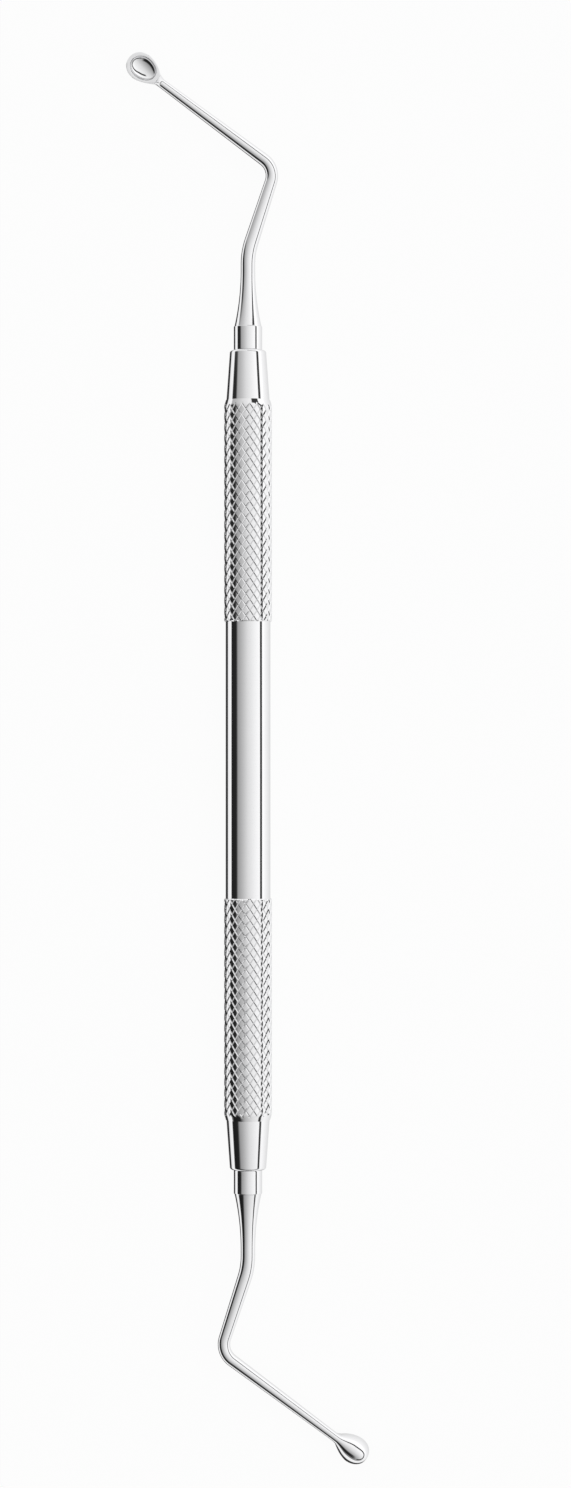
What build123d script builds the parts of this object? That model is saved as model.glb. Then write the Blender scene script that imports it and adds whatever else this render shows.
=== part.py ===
from build123d import *
import math
import os

# A double-ended bone curette: a turned handle with two knurled grips, and a forged
# working end pressed into each end of it. Millimetres.
# It lies on a table. The handle runs along Y with its middle above the origin, X is to
# the right and Z is up, with the lowest knurl diamonds on the table at z = 0.

# Handle
waist_length = 34.4
waist_diameter = 5.6
grip_length = 27.6
grip_diameter = 6.0
nose_length = 6.2
nose_base_diameter = 5.4
nose_tip_diameter = 4.5
nose_shoulder_radius = 0.35

# Diamond knurl
diamonds_around = 20
diamond_length = 1.342
groove_depth = 0.22
grip_nose_bevel = 0.5
grip_waist_bevel = 0.15
nose_ledge = 0.05
waist_ledge = 0.06

# Press fit of a working end in the handle
tang_diameter = 2.4
tang_length = 12.0
tang_chamfer = 0.3
tang_clearance = 0.01
socket_spare_depth = 0.5
drill_point_angle = 118.0

# Collar and flare
collar_diameter = 3.55
collar_length = 3.0
collar_bevel = 0.09
flare_length = 7.0
neck_diameter = 1.8

# Shank
first_bend_distance = 12.18
first_bend_angle = 18.0
first_bend_radius = 9.0
middle_run = 11.05
elbow_angle = 71.3
elbow_radius = 2.5
elbow_diameter = 1.54
long_run = 18.2
cup_neck_diameter = 1.1

# Cup
cup_length = 4.6
cup_width = 3.48
bowl_centre = 2.4
bowl_tip_radius = 1.6
flank_length = 1.5
cup_neck_width = 1.3
ridge_length = 2.4
ridge_diameter = 1.6
ridge_sink = 0.08
ridge_blend = 0.4
cavity_centre = 2.09
cavity_depth = 0.95
side_wall = 0.35
tip_wall = 0.42

# Derived values
grip_radius = grip_diameter / 2
ridge_angle = 180.0 / diamonds_around
axis_height = grip_radius * math.cos(math.radians(ridge_angle / 2))
seam_distance = waist_length / 2 + grip_length + nose_length
bowl_radius = cup_width / 2
cup_neck_radius = cup_neck_diameter / 2
rim_height = bowl_radius - cup_neck_radius


def ring_rows():
    """Distances from the grip's nose end: one row of knurl points every half diamond."""
    knurled = grip_length - grip_nose_bevel - grip_waist_bevel
    steps = 2 * round(knurled / diamond_length)
    rows = [grip_nose_bevel + knurled * step / steps for step in range(steps + 1)]
    return [0.0] + rows + [grip_length]


def ring_points(row, distance, last_row):
    """Points of one row: peaks and groove crossings in turn, or a plain end ring."""
    points = []
    for column in range(2 * diamonds_around):
        radius = grip_radius
        if (row + column) % 2:
            radius = grip_radius - groove_depth
        if row == 0:
            radius = nose_base_diameter / 2 + nose_ledge
        if row == last_row:
            radius = waist_diameter / 2 + waist_ledge
        angle = math.radians((column + 0.5) * ridge_angle)
        points.append((radius * math.sin(angle), -distance, -radius * math.cos(angle)))
    return points


def triangle(a, b, c):
    return Face(Wire.make_polygon([a, b, c]))


def knurled_grip():
    """A grip with its nose end at y = 0. Each diamond is a pyramid of four facets."""
    distances = ring_rows()
    last_row = len(distances) - 1
    rings = [ring_points(row, y, last_row) for row, y in enumerate(distances)]
    columns = 2 * diamonds_around
    facets = [Face(Wire.make_polygon(rings[0])), Face(Wire.make_polygon(rings[-1]))]
    for row in range(last_row):
        near, far = rings[row], rings[row + 1]
        for column in range(columns):
            beside = (column + 1) % columns
            if (row + column) % 2:
                facets.append(triangle(near[column], far[beside], far[column]))
                facets.append(triangle(near[column], near[beside], far[beside]))
            else:
                facets.append(triangle(near[beside], far[beside], far[column]))
                facets.append(triangle(near[column], near[beside], far[column]))
    return Solid(Shell(facets))


def nose():
    """The cone beyond a grip, from y = 0 at the grip out to the seam."""
    profile = Polyline(
        (0, 0),
        (nose_base_diameter / 2, 0),
        (nose_tip_diameter / 2, nose_length),
        (0, nose_length),
        close=True,
    )
    section = make_face(profile)
    shoulder = section.vertices().sort_by(Axis.Y)[-2:].sort_by(Axis.X)[-1]
    return revolve(fillet(shoulder, nose_shoulder_radius), axis=Axis.Y)


def socket():
    """The blind drilled hole for a tang, going down from y = 0 at the seam."""
    radius = tang_diameter / 2 + tang_clearance
    depth = tang_length + socket_spare_depth
    point = radius / math.tan(math.radians(drill_point_angle / 2))
    profile = Polyline((0, 0), (radius, 0), (radius, -depth), (0, -depth - point), close=True)
    return revolve(make_face(profile), axis=Axis.Y)


def handle():
    half_waist = revolve(
        make_face(
            Polyline(
                (0, 0),
                (waist_diameter / 2, 0),
                (waist_diameter / 2, waist_length / 2),
                (0, waist_length / 2),
                close=True,
            )
        ),
        axis=Axis.Y,
    )
    grip_end = waist_length / 2 + grip_length
    grip = Pos(0, grip_end, 0) * knurled_grip()
    half = half_waist + grip + Pos(0, grip_end, 0) * nose()
    half = half - Pos(0, seam_distance, 0) * socket()
    return Pos(0, 0, axis_height) * (half + mirror(half, about=Plane.XZ))


def tang_and_collar():
    """Turned root of a working end, seated at y = 0: tang, collar, flare and neck."""
    tang_radius = tang_diameter / 2
    collar_radius = collar_diameter / 2
    flare_end = (neck_diameter / 2, collar_length + flare_length)
    flare_start = (collar_radius - collar_bevel, collar_length)
    neck_end = first_bend_distance - bend_setback(first_bend_radius, first_bend_angle)
    outline = [
        Polyline(
            (0, neck_end),
            (0, -tang_length),
            (tang_radius - tang_chamfer, -tang_length),
            (tang_radius, tang_chamfer - tang_length),
            (tang_radius, 0),
            (collar_radius - collar_bevel, 0),
            (collar_radius, collar_bevel),
            (collar_radius, collar_length - collar_bevel),
            flare_start,
        ),
        TangentArc(flare_end, flare_start, tangent=(0, -1)),
        Polyline(flare_end, (neck_diameter / 2, neck_end), (0, neck_end)),
    ]
    return revolve(make_face(outline), axis=Axis.Y)


def bend_setback(radius, angle):
    """How far before its corner a bend starts."""
    return radius * math.tan(math.radians(angle) / 2)


def heading(angle):
    """Unit vector at an angle turned from the handle's direction towards +X."""
    return Vector(math.sin(math.radians(angle)), math.cos(math.radians(angle)), 0)


def shank_corners():
    """The corners of the shank's centre line, from the seam to the neck of the cup."""
    first = heading(0) * first_bend_distance
    elbow = first + heading(first_bend_angle) * middle_run
    neck = elbow + heading(first_bend_angle - elbow_angle) * long_run
    return [Vector(0, 0, 0), first, elbow, neck]


def bent_shank():
    """Tapered straight runs joined by two plain round bends."""
    corners = shank_corners()
    line = FilletPolyline(*corners, radius=[first_bend_radius, elbow_radius])
    start, first_bend, middle, elbow, long = line.edges()
    return (
        bend(first_bend, neck_diameter)
        + run(middle, neck_diameter, elbow_diameter)
        + bend(elbow, elbow_diameter)
        + run(long, elbow_diameter, cup_neck_diameter)
    )


def bend(edge, diameter):
    return sweep(Plane(origin=edge @ 0, z_dir=edge % 0) * Circle(diameter / 2), path=edge)


def run(edge, first_diameter, last_diameter):
    first = Plane(origin=edge @ 0, z_dir=edge % 0) * Circle(first_diameter / 2)
    last = Plane(origin=edge @ 1, z_dir=edge % 1) * Circle(last_diameter / 2)
    return loft([first, last])


def half_egg(back_centre, back_radius, tip_centre, tip_radius):
    """The half below z = 0 of an egg along X: two balls and the cone that touches both."""
    taper = math.asin((back_radius - tip_radius) / (tip_centre - back_centre))
    touching = 90 - math.degrees(taper)
    back = CenterArc((back_centre, 0), back_radius, 180, touching - 180)
    tip = CenterArc((tip_centre, 0), tip_radius, touching, -touching)
    profile = [back, Line(back @ 1, tip @ 0), tip, Line(tip @ 1, back @ 0)]
    return revolve(make_face(profile), axis=-Axis.X, revolution_arc=180)


def web_section(distance, half_width, depth):
    """Half an ellipse hanging from the rim plane, across the cup."""
    across = Plane(origin=(distance, 0, 0), x_dir=(0, 1, 0), z_dir=(1, 0, 0))
    below = Pos(0, -depth) * Rectangle(4 * half_width, 2 * depth)
    return across * (Ellipse(half_width, depth) & below)


def cup_neck():
    """The web that widens from the squared-off neck edge into the bowl."""
    back = bowl_centre - flank_length
    widest = math.sqrt(bowl_radius**2 - back**2)
    return loft(
        [
            web_section(0, cup_neck_width / 2, rim_height),
            web_section(flank_length, widest, widest),
        ]
    )


def cup_ridge():
    """The shank's end, which runs out along the back of the bowl."""
    shank_axis = Plane(origin=(0, 0, -rim_height), z_dir=(1, 0, 0))
    end_height = ridge_sink + ridge_diameter / 2 - bowl_radius
    ridge_end = Plane(origin=(ridge_length, 0, end_height), z_dir=(1, 0, 0))
    return loft([shank_axis * Circle(cup_neck_radius), ridge_end * Circle(ridge_diameter / 2)])


def cup_back(tip_centre):
    """Bowl, neck and ridge in one, with the hollow on each side of the ridge rounded."""
    back = half_egg(bowl_centre, bowl_radius, tip_centre, bowl_tip_radius)
    back = back + cup_neck() + cup_ridge()
    hollows = back.edges().filter_by(GeomType.BSPLINE).sort_by(Axis.Z)[1:3]
    return fillet(hollows, ridge_blend)


def cavity(tip_centre):
    """The shallow hollow: the lower part of an egg whose axis lies above the rim plane."""
    opening = bowl_radius - side_wall
    lift = (opening**2 - cavity_depth**2) / (2 * cavity_depth)
    tip_radius = math.hypot(bowl_tip_radius - tip_wall, lift)
    egg = half_egg(cavity_centre, lift + cavity_depth, tip_centre, tip_radius)
    return Pos(0, 0, lift) * egg


def cup():
    """The cup along +X, with its neck edge at x = 0 and its rim plane at z = 0."""
    tip_centre = cup_length - bowl_tip_radius
    return cup_back(tip_centre) - cavity(tip_centre)


def cup_place():
    """The cup's own frame: its rim plane stands above the end of the shank."""
    before, neck = shank_corners()[-2:]
    above = Vector(0, 0, rim_height)
    return Plane(origin=neck + above, x_dir=neck - before, z_dir=(0, 0, 1))


def working_end():
    """One forged piece, seated at y = 0 and reaching along +Y with its cup facing +Z."""
    return tang_and_collar() + bent_shank() + cup_place() * cup()


def upper_tip():
    return Pos(0, seam_distance, axis_height) * working_end()


def lower_tip():
    """The opposite hand of the upper tip, turned to the other end of the handle."""
    turned = Rot(0, 0, 180) * mirror(working_end(), about=Plane.XY)
    return Pos(0, -seam_distance, axis_height) * turned


os.makedirs("parts", exist_ok=True)
export_step(handle(), "parts/handle.step")
export_step(upper_tip(), "parts/upper_tip.step")
export_step(lower_tip(), "parts/lower_tip.step")
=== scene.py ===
import math

import bmesh
import bpy
from mathutils import Matrix, Vector


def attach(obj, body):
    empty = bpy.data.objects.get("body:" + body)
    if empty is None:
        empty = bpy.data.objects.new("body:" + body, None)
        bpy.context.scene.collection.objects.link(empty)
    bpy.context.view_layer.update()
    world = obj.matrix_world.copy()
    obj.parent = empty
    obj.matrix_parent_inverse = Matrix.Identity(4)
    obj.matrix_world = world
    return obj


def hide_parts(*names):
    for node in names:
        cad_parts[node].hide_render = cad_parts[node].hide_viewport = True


# A double-ended bone curette, dressed around its CAD solids. Lengths are in millimetres
# until a mesh is finished, which turns them into metres.

MM = 0.001
TINY = 1e-6
MERGE_DISTANCE = 1e-5

# Handle, as in the CAD source
DIAMONDS = 20
DIAMOND_PEAK_RADIUS = 3.0
COLUMN_ANGLE = math.pi / DIAMONDS
AXIS_HEIGHT = DIAMOND_PEAK_RADIUS * math.cos(COLUMN_ANGLE / 2)
WAIST_HALF = 17.2
WAIST_RADIUS = 2.8
GRIP_LENGTH = 27.6
GRIP_END = WAIST_HALF + GRIP_LENGTH
KNURLED_LENGTH = 26.95
HALF_DIAMOND_ROWS = 40
HALF_DIAMOND = KNURLED_LENGTH / HALF_DIAMOND_ROWS
NOSE_BASE_RADIUS = 2.7
NOSE_TIP_RADIUS = 2.25
NOSE_LENGTH = 6.2
NOSE_SHOULDER = 0.35
NOSE_SHOULDER_STEPS = 8
SEAM = GRIP_END + NOSE_LENGTH
SOCKET_RADIUS = 1.21
SOCKET_DEPTH = 12.5
SOCKET_POINT = 0.73

# Grip: flat-topped diamonds between narrow grooves. The groove's share is half its width
# against the distance to the next one, and the cells are those of half a diamond.
GRIP_RADIUS = 2.99
NOSE_BEVEL = 0.75
NOSE_BEVEL_DROP = 0.22
WAIST_BEVEL = 0.15
WAIST_BEVEL_DROP = 0.14
GROOVE_DEPTH = 0.076
GROOVE_SHARE = 0.125
CELLS = 4
CORE_RADIUS = 2
HANDLE_CREASE = 28.0

# Working end, measured from its seam
TANG_RADIUS = 1.2
TANG_LENGTH = 12.0
TANG_CHAMFER = 0.3
COLLAR_RADIUS = 1.775
COLLAR_LENGTH = 3.0
COLLAR_BEVEL = 0.09
COLLAR_SOFTNESS = 0.3
COLLAR_SUPPORT = 1.5
FLARE_LENGTH = 7.0
FLARE_STEPS = 20
NECK_RADIUS = 0.9
FIRST_BEND_DISTANCE = 12.18
FIRST_BEND_ANGLE = 18.0
FIRST_BEND_RADIUS = 9.0
FIRST_BEND_STEPS = 10
MIDDLE_RUN = 11.05
ELBOW_ANGLE = 71.3
ELBOW_BEND_RADIUS = 2.5
ELBOW_RADIUS = 0.77
ELBOW_STEPS = 28
LONG_RUN_HEADING = FIRST_BEND_ANGLE - ELBOW_ANGLE
LONG_RUN = 18.2
CUP_NECK_RADIUS = 0.55
TIP_SEGMENTS = 128
TIP_CREASE = 30.0

# Cup, along its own x from the neck edge, with its rim at z = 0. A fullness of 2 bends a
# curve as an ellipse, and more makes it fuller.
ELLIPSE = 2.0
CUP_LENGTH = 4.46
WIDEST = 2.5
BOWL_RADIUS = 1.735
TIP_FULLNESS = 2.2
FLANK_FULLNESS = 1.6
BOWL_DEPTH = 1.85
DEEPEST = 2.4
KEEL_FULLNESS = 3.0
CREST_RADIUS = 1.2
CREST_FADE = 2.1
RIM_HEIGHT = BOWL_DEPTH - CUP_NECK_RADIUS
NECK_HALF_WIDTH = 0.65
NECK_REACH = 2.8
NECK_STEP = 0.05
NECK_EDGE = 0.06
NECK_SQUARENESS = 2.0
FLARE_AT_NECK = 0.62
FLARE_POWER = 1.5
FLARE_AT_NECK_STEPS = 16
CAVITY_START = 0.5
CAVITY_END = 4.02
CAVITY_WIDEST = 2.4
CAVITY_HALF_WIDTH = 1.38
CAVITY_DEPTH = 0.74
CAVITY_CUT = 0.94
LIP = 0.05
LIP_IN_WIDTH = 0.3
LIP_IN_DEPTH = 0.5
LIPS_BESIDE_CAVITY = 2.2
LAND_COLUMNS = 3
FIRST_STATION = 0.015
NECK_STATIONS = 6
CAVITY_STATIONS = 44
TIP_STATIONS = 16

# Steel: how far the lines and the clouds in it change its gloss and its colour
DARKER_STEEL = (0.75, 0.75, 0.76, 1)
LIGHTER_STEEL = (0.82, 0.82, 0.825, 1)
LINES_IN_GLOSS = 0.05
CLOUDS_IN_GLOSS = 0.03
MEAN_IN_GLOSS = 0.04
LINES_IN_COLOUR = 0.5
CLOUDS_IN_COLOUR = 0.3
LINE_DETAIL = 4.0
LINE_ROUGHNESS = 0.6
CLOUD_SCALE = 260.0
CLOUD_DETAIL = 2.0
BUMP_HEIGHT = 0.00002
TURNING_LINES = (300.0, 9000.0, 300.0)
KNURL_GRAIN = (3000.0, 3000.0, 3000.0)
TIP_GRAIN = (900.0, 900.0, 900.0)

# Light tent. Heights are in degrees above the table, and turns in degrees from the left
# or from the right. A band is its start, its end and how soft both are.
LEAN_RIGHT = 0.85
LEAN_UP = 0.53
OVERHEAD_LEVEL = 0.9
OVERHEAD_LEAN = 0.45
OVERHEAD_FALL = 0.27
TABLE_LEVEL = 1.22
TABLE_SLOPE = 0.0055
TABLE_SEAM = (-6, 0)
CARD_FOOT_SLOPE = 0.25
CARD_FOOT = (6, 1)
CARD_TOP_SLOPE = 0.15
CARD_TOP_FALL = 0.75
CARD_TOP = (28.5, 41)
CARD_FIRST_SIDE = (-80, -60)
CARD_LAST_SIDE = (14, 30)
CARD_DARKNESS = 0.93
STRIP_SLOPE = 0.4
STRIP_RISE = 24.0
STRIP_HEIGHTS = (11.5, 24.5, 1.5)
STRIP_TURNS = (-100, 95, 5)
STRIP_DARKNESS = 0.96
# Painted shadow: a dark band in the tent's lower half, which the steel sees in place of the table,
# stands for the table's shadow beside the object.
TABLE_SHADOW_HEIGHTS = (-67, -34, 2)
TABLE_SHADOW_TURNS = (-120, 45, 20)
TABLE_SHADOW_DARKNESS = 0.96

# Floor, in metres, and how much of it shows as white
FLOOR_REACH = 3.0
FLOOR_COLOUR = (0.9, 0.9, 0.9, 1)
FLOOR_WHITENESS = 0.94

# Camera, from the photograph
CAMERA_X = 4.681
CAMERA_Y = 1.992
CAMERA_ABOVE_AXIS = 490.0
LENS = 95.2
SENSOR_WIDTH = 36
CLIP_START = 0.01

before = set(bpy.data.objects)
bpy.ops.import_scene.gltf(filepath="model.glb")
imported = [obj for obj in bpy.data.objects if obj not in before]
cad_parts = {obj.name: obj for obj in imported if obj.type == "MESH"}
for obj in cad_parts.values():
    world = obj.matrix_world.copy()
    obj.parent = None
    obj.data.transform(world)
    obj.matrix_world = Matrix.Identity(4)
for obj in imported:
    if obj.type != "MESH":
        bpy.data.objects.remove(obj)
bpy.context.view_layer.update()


def heading(angle):
    """Unit vector turned by an angle in degrees from +Y towards +X."""
    return Vector((math.sin(math.radians(angle)), math.cos(math.radians(angle)), 0))


def smooth(value, start, end):
    """0 before start, 1 after end, and an even S between them."""
    share = min(max((value - start) / (end - start), 0), 1)
    return share * share * (3 - 2 * share)


# Meshes


def tube(bm, rings, segments):
    """A skin over rings, each a function from an angle to a point. Poles close in merging."""
    turn = bm.verts.layers.float.new("turn")
    loop = bmesh.ops.create_circle(bm, segments=segments, radius=1)["verts"]
    for vert in loop:
        vert[turn] = math.atan2(vert.co.y, vert.co.x)
    edges = bm.edges[:]
    for number, ring in enumerate(rings):
        if number:
            made = bmesh.ops.extrude_edge_only(bm, edges=edges)["geom"]
            loop = [part for part in made if isinstance(part, bmesh.types.BMVert)]
            fresh = set(loop)
            edges = [
                part
                for part in made
                if isinstance(part, bmesh.types.BMEdge) and fresh.issuperset(part.verts)
            ]
        for vert in loop:
            vert.co = ring(vert[turn])
    bm.verts.layers.float.remove(turn)


def round_ring(centre, along, radius):
    """A circle across a direction that lies level."""
    side = Vector((along.y, -along.x, 0)).normalized()
    up = Vector((0, 0, 1))
    return lambda angle: centre + (side * math.cos(angle) + up * math.sin(angle)) * radius


def finish(bm, name, materials, node, crease):
    """Closes, orients and shades a mesh, and makes it the piece that stands for a node."""
    bmesh.ops.remove_doubles(bm, verts=bm.verts, dist=MERGE_DISTANCE)
    bmesh.ops.scale(bm, vec=(MM, MM, MM), verts=bm.verts)
    bmesh.ops.recalc_face_normals(bm, faces=bm.faces)
    for face in bm.faces:
        face.smooth = True
    mesh = bpy.data.meshes.new(name)
    bm.to_mesh(mesh)
    bm.free()
    mesh.set_sharp_from_angle(angle=math.radians(crease))
    piece = bpy.data.objects.new(name, mesh)
    bpy.context.scene.collection.objects.link(piece)
    for material in materials:
        mesh.materials.append(material)
    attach(piece, "root")
    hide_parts(node)
    return piece


def knurl_drop(turn, row):
    """How deep the knurl's two crossing sets of grooves cut at a place on a grip."""
    column = turn / COLUMN_ANGLE - 0.5
    drop = 0
    for pitch in ((row + column - 1) / 2, (row - column - 1) / 2):
        off = abs(pitch - round(pitch))
        drop = max(drop, GROOVE_DEPTH * (1 - off / GROOVE_SHARE))
    return drop


def handle_ring(distance, radius, knurl_row):
    """A ring of the handle; distance is along Y from its middle. A smooth one has no row."""

    def point(angle):
        # the angle is counted from straight down towards +X
        turn = angle % (2 * math.pi)
        reach = radius
        if knurl_row is not None:
            reach = min(radius, GRIP_RADIUS - knurl_drop(turn, knurl_row))
        return Vector(
            (reach * math.sin(turn), distance, AXIS_HEIGHT - reach * math.cos(turn))
        )

    return point


def grip_rings():
    """Rings of a grip from its nose end, as (distance from that end, radius, knurl row)."""
    rings = [(0.0, NOSE_BASE_RADIUS, None)]
    step = HALF_DIAMOND / CELLS
    count = round(GRIP_LENGTH / step)
    for number in range(count + 1):
        distance = min(number * step, GRIP_LENGTH)
        from_waist = GRIP_LENGTH - distance
        radius = GRIP_RADIUS
        if distance < NOSE_BEVEL:
            radius -= NOSE_BEVEL_DROP * (1 - distance / NOSE_BEVEL)
        if from_waist < WAIST_BEVEL:
            radius -= WAIST_BEVEL_DROP * (1 - from_waist / WAIST_BEVEL)
        rings.append((distance, radius, number / CELLS + 1))
    rings.append((GRIP_LENGTH, WAIST_RADIUS, None))
    return rings


def nose_rings():
    """Rings of a nose from the bottom of its socket out, and round its shoulder."""
    rings = [
        (SEAM - SOCKET_DEPTH - SOCKET_POINT, 0),
        (SEAM - SOCKET_DEPTH, SOCKET_RADIUS),
        (SEAM, SOCKET_RADIUS),
    ]
    taper = (NOSE_BASE_RADIUS - NOSE_TIP_RADIUS) / NOSE_LENGTH
    turn = math.pi / 2 - math.atan(taper)
    setback = NOSE_SHOULDER * math.tan(turn / 2)
    centre_radius = NOSE_TIP_RADIUS - setback
    centre = SEAM - NOSE_SHOULDER
    for step in range(NOSE_SHOULDER_STEPS + 1):
        angle = turn * step / NOSE_SHOULDER_STEPS
        distance = centre + NOSE_SHOULDER * math.cos(angle)
        rings.append((distance, centre_radius + NOSE_SHOULDER * math.sin(angle)))
    return [(distance, radius, None) for distance, radius in rings]


def split_grooves(bm):
    """Splits the knurl's bent faces along their groove, so that its walls are flat."""
    least_bend = GROOVE_DEPTH / 4
    digits = 4
    for face in list(bm.faces):
        reach = [math.hypot(vert.co.x, vert.co.z - AXIS_HEIGHT) for vert in face.verts]
        if len(reach) != 4 or max(reach) - min(reach) < least_bend:
            continue
        if abs(face.calc_center_median().y) > GRIP_END:
            continue
        # the groove joins the two opposite corners that are most alike, or else the lower
        pairs = [(reach[corner], reach[corner + 2]) for corner in (0, 1)]
        ranks = [(round(abs(one - other), digits), one + other) for one, other in pairs]
        corner = 0 if ranks[0] < ranks[1] else 1
        bmesh.utils.face_split(face, face.verts[corner], face.verts[corner + 2])


def build_handle(materials):
    """One turned bar: socket, nose, grip and half the waist, and the same again.

    The first material is for the smooth surfaces and the second for the knurl.
    """
    half = nose_rings()
    half += [(GRIP_END - along, radius, row) for along, radius, row in grip_rings()]
    whole = half + [(-distance, radius, row) for distance, radius, row in reversed(half)]
    bm = bmesh.new()
    tube(bm, [handle_ring(*ring) for ring in whole], 2 * DIAMONDS * CELLS)
    split_grooves(bm)
    piece = finish(
        bm, "handle-turned-and-knurled", materials, "handle", HANDLE_CREASE
    )
    knurl_start = WAIST_HALF * MM
    knurl_end = (GRIP_END - NOSE_BEVEL) * MM
    for face in piece.data.polygons:
        reach_squared = face.center.x**2 + (face.center.z - AXIS_HEIGHT * MM) ** 2
        outside = reach_squared > (CORE_RADIUS * MM) ** 2
        if outside and knurl_start < abs(face.center.y) < knurl_end:
            face.material_index = 1


def bend_rings(corner, before, after, radius, bend_radius, steps):
    """Rings round a bend from one level heading to another."""
    turn = math.radians(after - before)
    setback = bend_radius * math.tan(abs(turn) / 2)
    start = corner - heading(before) * setback
    side = 1 if turn > 0 else -1
    centre = start + heading(before + 90 * side) * bend_radius
    rings = []
    for step in range(steps + 1):
        angle = before + (after - before) * step / steps
        place = centre - heading(angle + 90 * side) * bend_radius
        rings.append(round_ring(place, heading(angle), radius))
    return rings


def shank_corners():
    """Corners of the shank's centre line: the first bend, the elbow and the cup's neck."""
    first = heading(0) * FIRST_BEND_DISTANCE
    elbow = first + heading(FIRST_BEND_ANGLE) * MIDDLE_RUN
    neck = elbow + heading(LONG_RUN_HEADING) * LONG_RUN
    return first, elbow, neck


def shank_rings():
    """Rings from the end of the tang, through collar, flare and bends, to the long run."""
    soft = COLLAR_BEVEL * COLLAR_SOFTNESS
    support = COLLAR_BEVEL * COLLAR_SUPPORT
    turned = [
        (-TANG_LENGTH, 0),
        (-TANG_LENGTH, TANG_RADIUS - TANG_CHAMFER),
        (TANG_CHAMFER - TANG_LENGTH, TANG_RADIUS),
        (0, TANG_RADIUS),
        (0, COLLAR_RADIUS - COLLAR_BEVEL),
        (soft, COLLAR_RADIUS - soft),
        (COLLAR_BEVEL, COLLAR_RADIUS),
        (support, COLLAR_RADIUS),
        (COLLAR_LENGTH - support, COLLAR_RADIUS),
        (COLLAR_LENGTH - COLLAR_BEVEL, COLLAR_RADIUS),
        (COLLAR_LENGTH - soft, COLLAR_RADIUS - soft),
        (COLLAR_LENGTH, COLLAR_RADIUS - COLLAR_BEVEL),
    ]
    gain = COLLAR_RADIUS - COLLAR_BEVEL - NECK_RADIUS
    sweep = (gain**2 + FLARE_LENGTH**2) / (2 * gain)
    for step in range(1, FLARE_STEPS + 1):
        left = FLARE_LENGTH * (1 - step / FLARE_STEPS)
        radius = NECK_RADIUS + sweep - math.sqrt(sweep**2 - left**2)
        turned.append((COLLAR_LENGTH + FLARE_LENGTH - left, radius))
    rings = [round_ring(Vector((0, y, 0)), heading(0), radius) for y, radius in turned]
    first, elbow, neck = shank_corners()
    rings += bend_rings(
        first, 0, FIRST_BEND_ANGLE, NECK_RADIUS, FIRST_BEND_RADIUS, FIRST_BEND_STEPS
    )
    rings += bend_rings(
        elbow, FIRST_BEND_ANGLE, LONG_RUN_HEADING, ELBOW_RADIUS, ELBOW_BEND_RADIUS, ELBOW_STEPS
    )
    return rings


def bow(share, fullness):
    """Height of a rounded arch at a share of its half span."""
    return max(0.0, 1 - abs(share) ** fullness) ** (1 / fullness)


def sector(value, fullness):
    """A sine or cosine changed so that the arc it draws is an arch of that fullness."""
    return math.copysign(abs(value) ** (ELLIPSE / fullness), value)


def half_width(x):
    """Half the width of the cup's rim."""
    if x > WIDEST:
        return BOWL_RADIUS * bow((x - WIDEST) / (CUP_LENGTH - WIDEST), TIP_FULLNESS)
    return max(NECK_HALF_WIDTH, BOWL_RADIUS * bow((WIDEST - x) / NECK_REACH, FLANK_FULLNESS))


def keel(x):
    """Depth of the cup's back below the rim: level from the shank, then up to the tip."""
    return BOWL_DEPTH * bow(max(0.0, x - DEEPEST) / (CUP_LENGTH - DEEPEST), KEEL_FULLNESS)


def back(across, width, depth, crest):
    """Depth of a rounded keel at a place across it; its crest has the radius crest."""
    if width < TINY:
        return depth
    room = depth * crest
    square = width**2
    if square > room:
        # the rim cuts the ellipse above its widest place, so that its flanks lean
        square = room**2 / (2 * room - square)
    share = min(1.0, across**2 / square)
    return depth - square / crest * (1 - math.sqrt(1 - share))


def hollow(x):
    """Half the width of the hollow, and its depth, at a place along the cup."""
    if CAVITY_START < x < CAVITY_END:
        end = CAVITY_END if x > CAVITY_WIDEST else CAVITY_START
        share = bow((x - CAVITY_WIDEST) / (end - CAVITY_WIDEST), ELLIPSE)
        return CAVITY_HALF_WIDTH * share, CAVITY_DEPTH * share
    return 0.0, 0.0


def bowl_fall(share):
    """Depth of the hollow at a share of its half width: an ellipse cut before its widest."""
    edge = math.sqrt(1 - CAVITY_CUT**2)
    return (math.sqrt(1 - (share * CAVITY_CUT) ** 2) - edge) / (1 - edge)


def neck_section(x):
    """The shank's outline just before the cup, which flares up and out to the neck edge."""
    radius = CUP_NECK_RADIUS + (ELBOW_RADIUS - CUP_NECK_RADIUS) * -x / LONG_RUN
    flare = (1 + x / FLARE_AT_NECK) ** FLARE_POWER
    width = radius + (NECK_HALF_WIDTH - radius) * flare
    shoulder = -RIM_HEIGHT + (RIM_HEIGHT - NECK_STEP - NECK_EDGE) * flare
    top = -RIM_HEIGHT + radius + (RIM_HEIGHT - radius - NECK_STEP) * flare
    depth = RIM_HEIGHT + radius + shoulder

    def place(cosine, sine):
        if sine > 0:
            fullness = ELLIPSE + NECK_SQUARENESS * flare
            across = width * sector(cosine, fullness)
            return across, shoulder + (top - shoulder) * sector(sine, fullness)
        across = width * cosine
        if sine > -TINY:
            return across, shoulder
        return across, shoulder - back(across, width, depth, radius)

    return place


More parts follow.
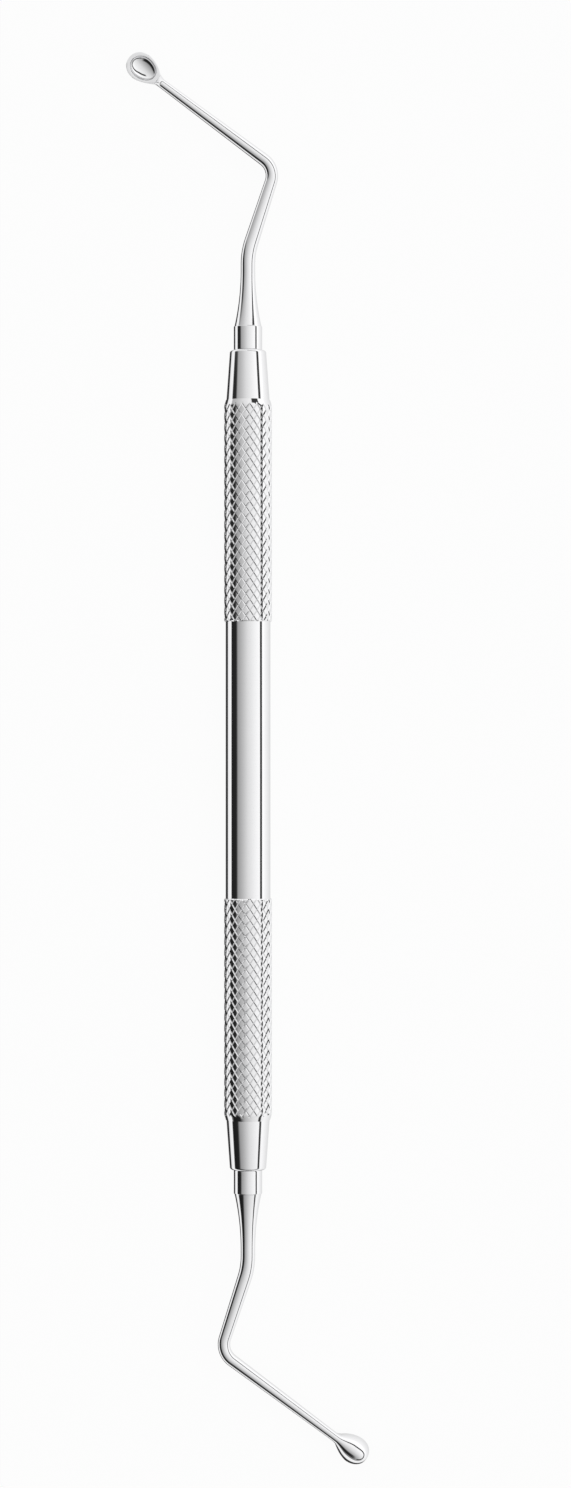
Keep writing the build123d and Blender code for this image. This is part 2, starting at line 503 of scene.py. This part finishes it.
def cup_section(x):
    """The cup's outline across: a keeled back, rounded lips, flat lands and the hollow."""
    width = half_width(x)
    depth = keel(x)
    lip = min(LIP, width * LIP_IN_WIDTH, depth * LIP_IN_DEPTH)
    inner, hollow_depth = hollow(x)
    inner = min(inner, max(0.0, width - LIPS_BESIDE_CAVITY * lip))
    inner_lip = min(LIP, inner * LIP_IN_WIDTH)
    crest = CUP_NECK_RADIUS + (CREST_RADIUS - CUP_NECK_RADIUS) * smooth(x, 0.0, CREST_FADE)
    if x > WIDEST:
        crest *= width / BOWL_RADIUS
    columns = TIP_SEGMENTS // 4

    def place(cosine, sine):
        if sine < -TINY:
            return width * cosine, -lip - back(width * cosine, width, depth - lip, crest)
        if sine <= 0:
            return width * cosine, -lip
        side = math.copysign(1, cosine)
        column = math.atan2(sine, abs(cosine)) / (math.pi / 2) * columns
        turn = min(column / LAND_COLUMNS, 1) * math.pi / 2
        across = width - lip * (1 - math.cos(turn))
        height = lip * (math.sin(turn) - 1)
        column -= LAND_COLUMNS
        if column > 0:
            share = min(column / LAND_COLUMNS, 1)
            across += (inner + inner_lip - across) * share
        column -= LAND_COLUMNS
        if column > 0:
            turn = min(column / LAND_COLUMNS, 1) * math.pi / 2
            across = inner + inner_lip * (1 - math.sin(turn))
            height = inner_lip * (math.cos(turn) - 1)
        column -= LAND_COLUMNS
        if column > 0:
            turn = column / (columns - 3 * LAND_COLUMNS) * math.pi / 2
            across = inner * math.cos(turn)
            fall = bowl_fall(math.cos(turn))
            height = -inner_lip - max(hollow_depth - inner_lip, 0) * fall
        return side * across, height

    return place


def cup_stations():
    """Places along the cup for its rings, closer together where its ends turn."""
    places = [FIRST_STATION]
    places += [CAVITY_START * step / NECK_STATIONS for step in range(1, NECK_STATIONS)]
    for step in range(CAVITY_STATIONS + 1):
        share = (1 - math.cos(math.pi * step / CAVITY_STATIONS)) / 2
        places.append(CAVITY_START + (CAVITY_END - CAVITY_START) * share)
    for step in range(1, TIP_STATIONS + 1):
        left = (1 - step / TIP_STATIONS) ** 2
        places.append(CUP_LENGTH - (CUP_LENGTH - CAVITY_END) * left)
    return places


def cup_rings():
    """Rings of the flare before the neck edge, and of the cup out to its tip."""
    first, elbow, neck = shank_corners()
    along = heading(LONG_RUN_HEADING)
    side = Vector((along.y, -along.x, 0))
    rim = neck + Vector((0, 0, RIM_HEIGHT))

    def ring(x, place):
        def point(angle):
            across, height = place(math.cos(angle), math.sin(angle))
            return rim + along * x + side * across + Vector((0, 0, height))

        return point

    rings = []
    for step in range(FLARE_AT_NECK_STEPS + 1):
        x = -FLARE_AT_NECK * (1 - step / FLARE_AT_NECK_STEPS)
        rings.append(ring(x, neck_section(x)))
    return rings + [ring(x, cup_section(x)) for x in cup_stations()]


def build_tip(name, node, side, materials):
    """A forged working end; side is 1 for the upper and -1 for the lower, its other hand."""
    bm = bmesh.new()
    tube(bm, shank_rings() + cup_rings(), TIP_SEGMENTS)
    place = Matrix.Translation((0, 0, AXIS_HEIGHT)) @ Matrix.Diagonal((side, side, side, 1))
    bmesh.ops.transform(bm, matrix=place @ Matrix.Translation((0, SEAM, 0)), verts=bm.verts)
    finish(bm, name, materials, node, TIP_CREASE)


# Materials


class Value:
    """A shader socket that takes part in Python arithmetic."""

    def __init__(self, tree, socket):
        self.tree = tree
        self.socket = socket

    def node(self, kind, settings=None, **inputs):
        """Any other node. An input goes by its name, with _ for a blank, or by i and a number."""
        made = self.tree.nodes.new(kind)
        for key, value in (settings or {}).items():
            setattr(made, key, value)
        for key, value in inputs.items():
            if key[1:].isdigit():
                target = made.inputs[int(key[1:])]
            else:
                target = made.inputs[key.replace("_", " ")]
            if isinstance(value, Value):
                self.tree.links.new(value.socket, target)
            else:
                target.default_value = value
        return made

    def math(self, operation, other=0.0):
        made = self.node("ShaderNodeMath", {"operation": operation}, i0=self, i1=other)
        return Value(self.tree, made.outputs[0])

    def __add__(self, other):
        return self.math("ADD", other)

    def __sub__(self, other):
        return self.math("SUBTRACT", other)

    def __rsub__(self, other):
        return (self * -1).math("ADD", other)

    def __mul__(self, other):
        return self.math("MULTIPLY", other)

    __radd__ = __add__
    __rmul__ = __mul__

    def between(self, start, end):
        """Rises smoothly from 0 at start to 1 at end."""
        made = self.node(
            "ShaderNodeMapRange",
            {"interpolation_type": "SMOOTHSTEP"},
            Value=self,
            From_Min=start,
            From_Max=end,
        )
        return Value(self.tree, made.outputs[0])

    def band(self, start, end, soft):
        """1 from start to end, with soft edges."""
        return self.between(start - soft, start + soft) * (1 - self.between(end - soft, end + soft))


def steel(name, roughness, grain, bump):
    """Polished stainless steel with faint turning or polishing lines."""
    material = bpy.data.materials.new(name)
    material.use_nodes = True
    tree = material.node_tree
    shader = tree.nodes["Principled BSDF"]
    shader.inputs["Metallic"].default_value = 1.0
    start = Value(tree, tree.nodes.new("ShaderNodeTexCoord").outputs["Object"])
    stretched = start.node("ShaderNodeMapping", {"vector_type": "POINT"}, Vector=start, Scale=grain)
    made = start.node(
        "ShaderNodeTexNoise",
        Vector=Value(tree, stretched.outputs[0]),
        Scale=1.0,
        Detail=LINE_DETAIL,
        Roughness=LINE_ROUGHNESS,
    )
    lines = Value(tree, made.outputs["Fac"])
    made = start.node("ShaderNodeTexNoise", Vector=start, Scale=CLOUD_SCALE, Detail=CLOUD_DETAIL)
    clouds = Value(tree, made.outputs["Fac"])
    gloss = lines * LINES_IN_GLOSS + clouds * CLOUDS_IN_GLOSS + (roughness - MEAN_IN_GLOSS)
    tree.links.new(gloss.socket, shader.inputs["Roughness"])
    share = lines * LINES_IN_COLOUR + clouds * CLOUDS_IN_COLOUR
    tint = start.node("ShaderNodeMix", {"data_type": "RGBA"}, i0=share)
    tint.inputs[6].default_value = DARKER_STEEL
    tint.inputs[7].default_value = LIGHTER_STEEL
    tree.links.new(tint.outputs[2], shader.inputs["Base Color"])
    raised = start.node("ShaderNodeBump", Height=lines, Strength=bump, Distance=BUMP_HEIGHT)
    tree.links.new(raised.outputs[0], shader.inputs["Normal"])
    return material


def floor_material():
    """White to the camera and in reflections, with the object's faint shadow kept."""
    material = bpy.data.materials.new("table")
    material.use_nodes = True
    tree = material.node_tree
    tree.nodes.clear()
    out = tree.nodes.new("ShaderNodeOutputMaterial")
    diffuse = tree.nodes.new("ShaderNodeBsdfDiffuse")
    diffuse.inputs["Color"].default_value = FLOOR_COLOUR
    glow = tree.nodes.new("ShaderNodeEmission")
    mix = tree.nodes.new("ShaderNodeMixShader")
    seen = tree.nodes.new("ShaderNodeLightPath")
    shown = Value(tree, seen.outputs["Is Camera Ray"])
    for ray in ("Is Glossy Ray", "Is Transmission Ray"):
        shown = shown.math("MAXIMUM", Value(tree, seen.outputs[ray]))
    share = shown * FLOOR_WHITENESS
    tree.links.new(share.socket, mix.inputs[0])
    tree.links.new(diffuse.outputs[0], mix.inputs[1])
    tree.links.new(glow.outputs[0], mix.inputs[2])
    tree.links.new(mix.outputs[0], out.inputs[0])
    return material


def tent_light(x, y, z):
    """Brightness of the tent in a direction: white panels, a black card, a strip, and a painted
    shadow of the table low on the left.
    """
    degrees = 180 / math.pi
    height = z.math("ARCSINE") * degrees
    from_left = y.math("ARCTAN2", x * -1) * degrees
    from_right = y.math("ARCTAN2", x) * degrees

    lean = x * LEAN_RIGHT + y * LEAN_UP
    overhead = OVERHEAD_LEVEL + lean * OVERHEAD_LEAN + lean.math("MINIMUM", 0.0) * OVERHEAD_FALL
    table = TABLE_LEVEL + height * TABLE_SLOPE
    light = table + (overhead - table) * height.between(*TABLE_SEAM)

    # a tall card on the left, whose top falls towards the far side
    side = from_left.math("ABSOLUTE")
    foot_start, foot_end = (side * CARD_FOOT_SLOPE - below for below in CARD_FOOT)
    card = height.between(foot_start, foot_end)
    crown = side * CARD_TOP_SLOPE - from_left.math("MAXIMUM", 0.0) * CARD_TOP_FALL
    top_start, top_end = (crown + above for above in CARD_TOP)
    card = card * (1 - height.between(top_start, top_end))
    card = card * from_left.between(*CARD_FIRST_SIDE) * (1 - from_left.between(*CARD_LAST_SIDE))

    # a narrow strip on the right, which rises towards the far side
    lift = (from_right.math("MAXIMUM", 0.0) * STRIP_SLOPE).math("MINIMUM", STRIP_RISE)
    strip = (height - lift).band(*STRIP_HEIGHTS) * from_right.band(*STRIP_TURNS)

    # painted shadow: a dark band low on the left, standing for the table's shadow beside the object
    # where the steel sees the tent's lower half in place of the table
    painted_table_shadow = height.band(*TABLE_SHADOW_HEIGHTS) * from_left.band(*TABLE_SHADOW_TURNS)
    light = light * (1 - card * CARD_DARKNESS) * (1 - strip * STRIP_DARKNESS)
    return light * (1 - painted_table_shadow * TABLE_SHADOW_DARKNESS)


def light_tent():
    """The world: a soft tent for the steel to reflect, and plain white to the camera."""
    world = bpy.data.worlds.new("tent")
    bpy.context.scene.world = world
    world.use_nodes = True
    tree = world.node_tree
    tree.nodes.clear()
    out = tree.nodes.new("ShaderNodeOutputWorld")
    background = tree.nodes.new("ShaderNodeBackground")
    background.inputs["Color"].default_value = (1, 1, 1, 1)
    tree.links.new(background.outputs[0], out.inputs[0])
    start = Value(tree, tree.nodes.new("ShaderNodeTexCoord").outputs["Generated"])
    split = start.node("ShaderNodeSeparateXYZ", Vector=start)
    light = tent_light(*(Value(tree, split.outputs[axis]) for axis in "XYZ"))
    seen = tree.nodes.new("ShaderNodeLightPath")
    camera = Value(tree, seen.outputs["Is Camera Ray"])
    light = light + (1 - light) * camera
    tree.links.new(light.socket, background.inputs["Strength"])


def build_floor():
    bm = bmesh.new()
    bmesh.ops.create_grid(bm, x_segments=1, y_segments=1, size=FLOOR_REACH)
    mesh = bpy.data.meshes.new("table")
    bm.to_mesh(mesh)
    bm.free()
    mesh.materials.append(floor_material())
    table = bpy.data.objects.new("table", mesh)
    bpy.context.scene.collection.objects.link(table)
    # the tent's lower half stands for the table in the steel's reflections
    table.visible_glossy = False


def build_camera():
    """The camera of the photograph, which looks straight down."""
    camera = bpy.data.cameras.new("camera")
    camera.lens = LENS
    camera.sensor_width = SENSOR_WIDTH
    camera.clip_start = CLIP_START
    viewer = bpy.data.objects.new("camera", camera)
    viewer.location = Vector((CAMERA_X, CAMERA_Y, AXIS_HEIGHT + CAMERA_ABOVE_AXIS)) * MM
    bpy.context.scene.collection.objects.link(viewer)
    bpy.context.scene.camera = viewer


bpy.context.scene.view_settings.view_transform = "Standard"
light_tent()
build_floor()
build_camera()
polished = steel("polished steel", roughness=0.05, grain=TURNING_LINES, bump=0.03)
knurled = steel("knurled steel", roughness=0.07, grain=KNURL_GRAIN, bump=0.05)
ground = steel("polished tip steel", roughness=0.05, grain=TIP_GRAIN, bump=0.03)
build_handle([polished, knurled])
build_tip("upper-working-end", "upper_tip", 1, [ground])
build_tip("lower-working-end", "lower_tip", -1, [ground])
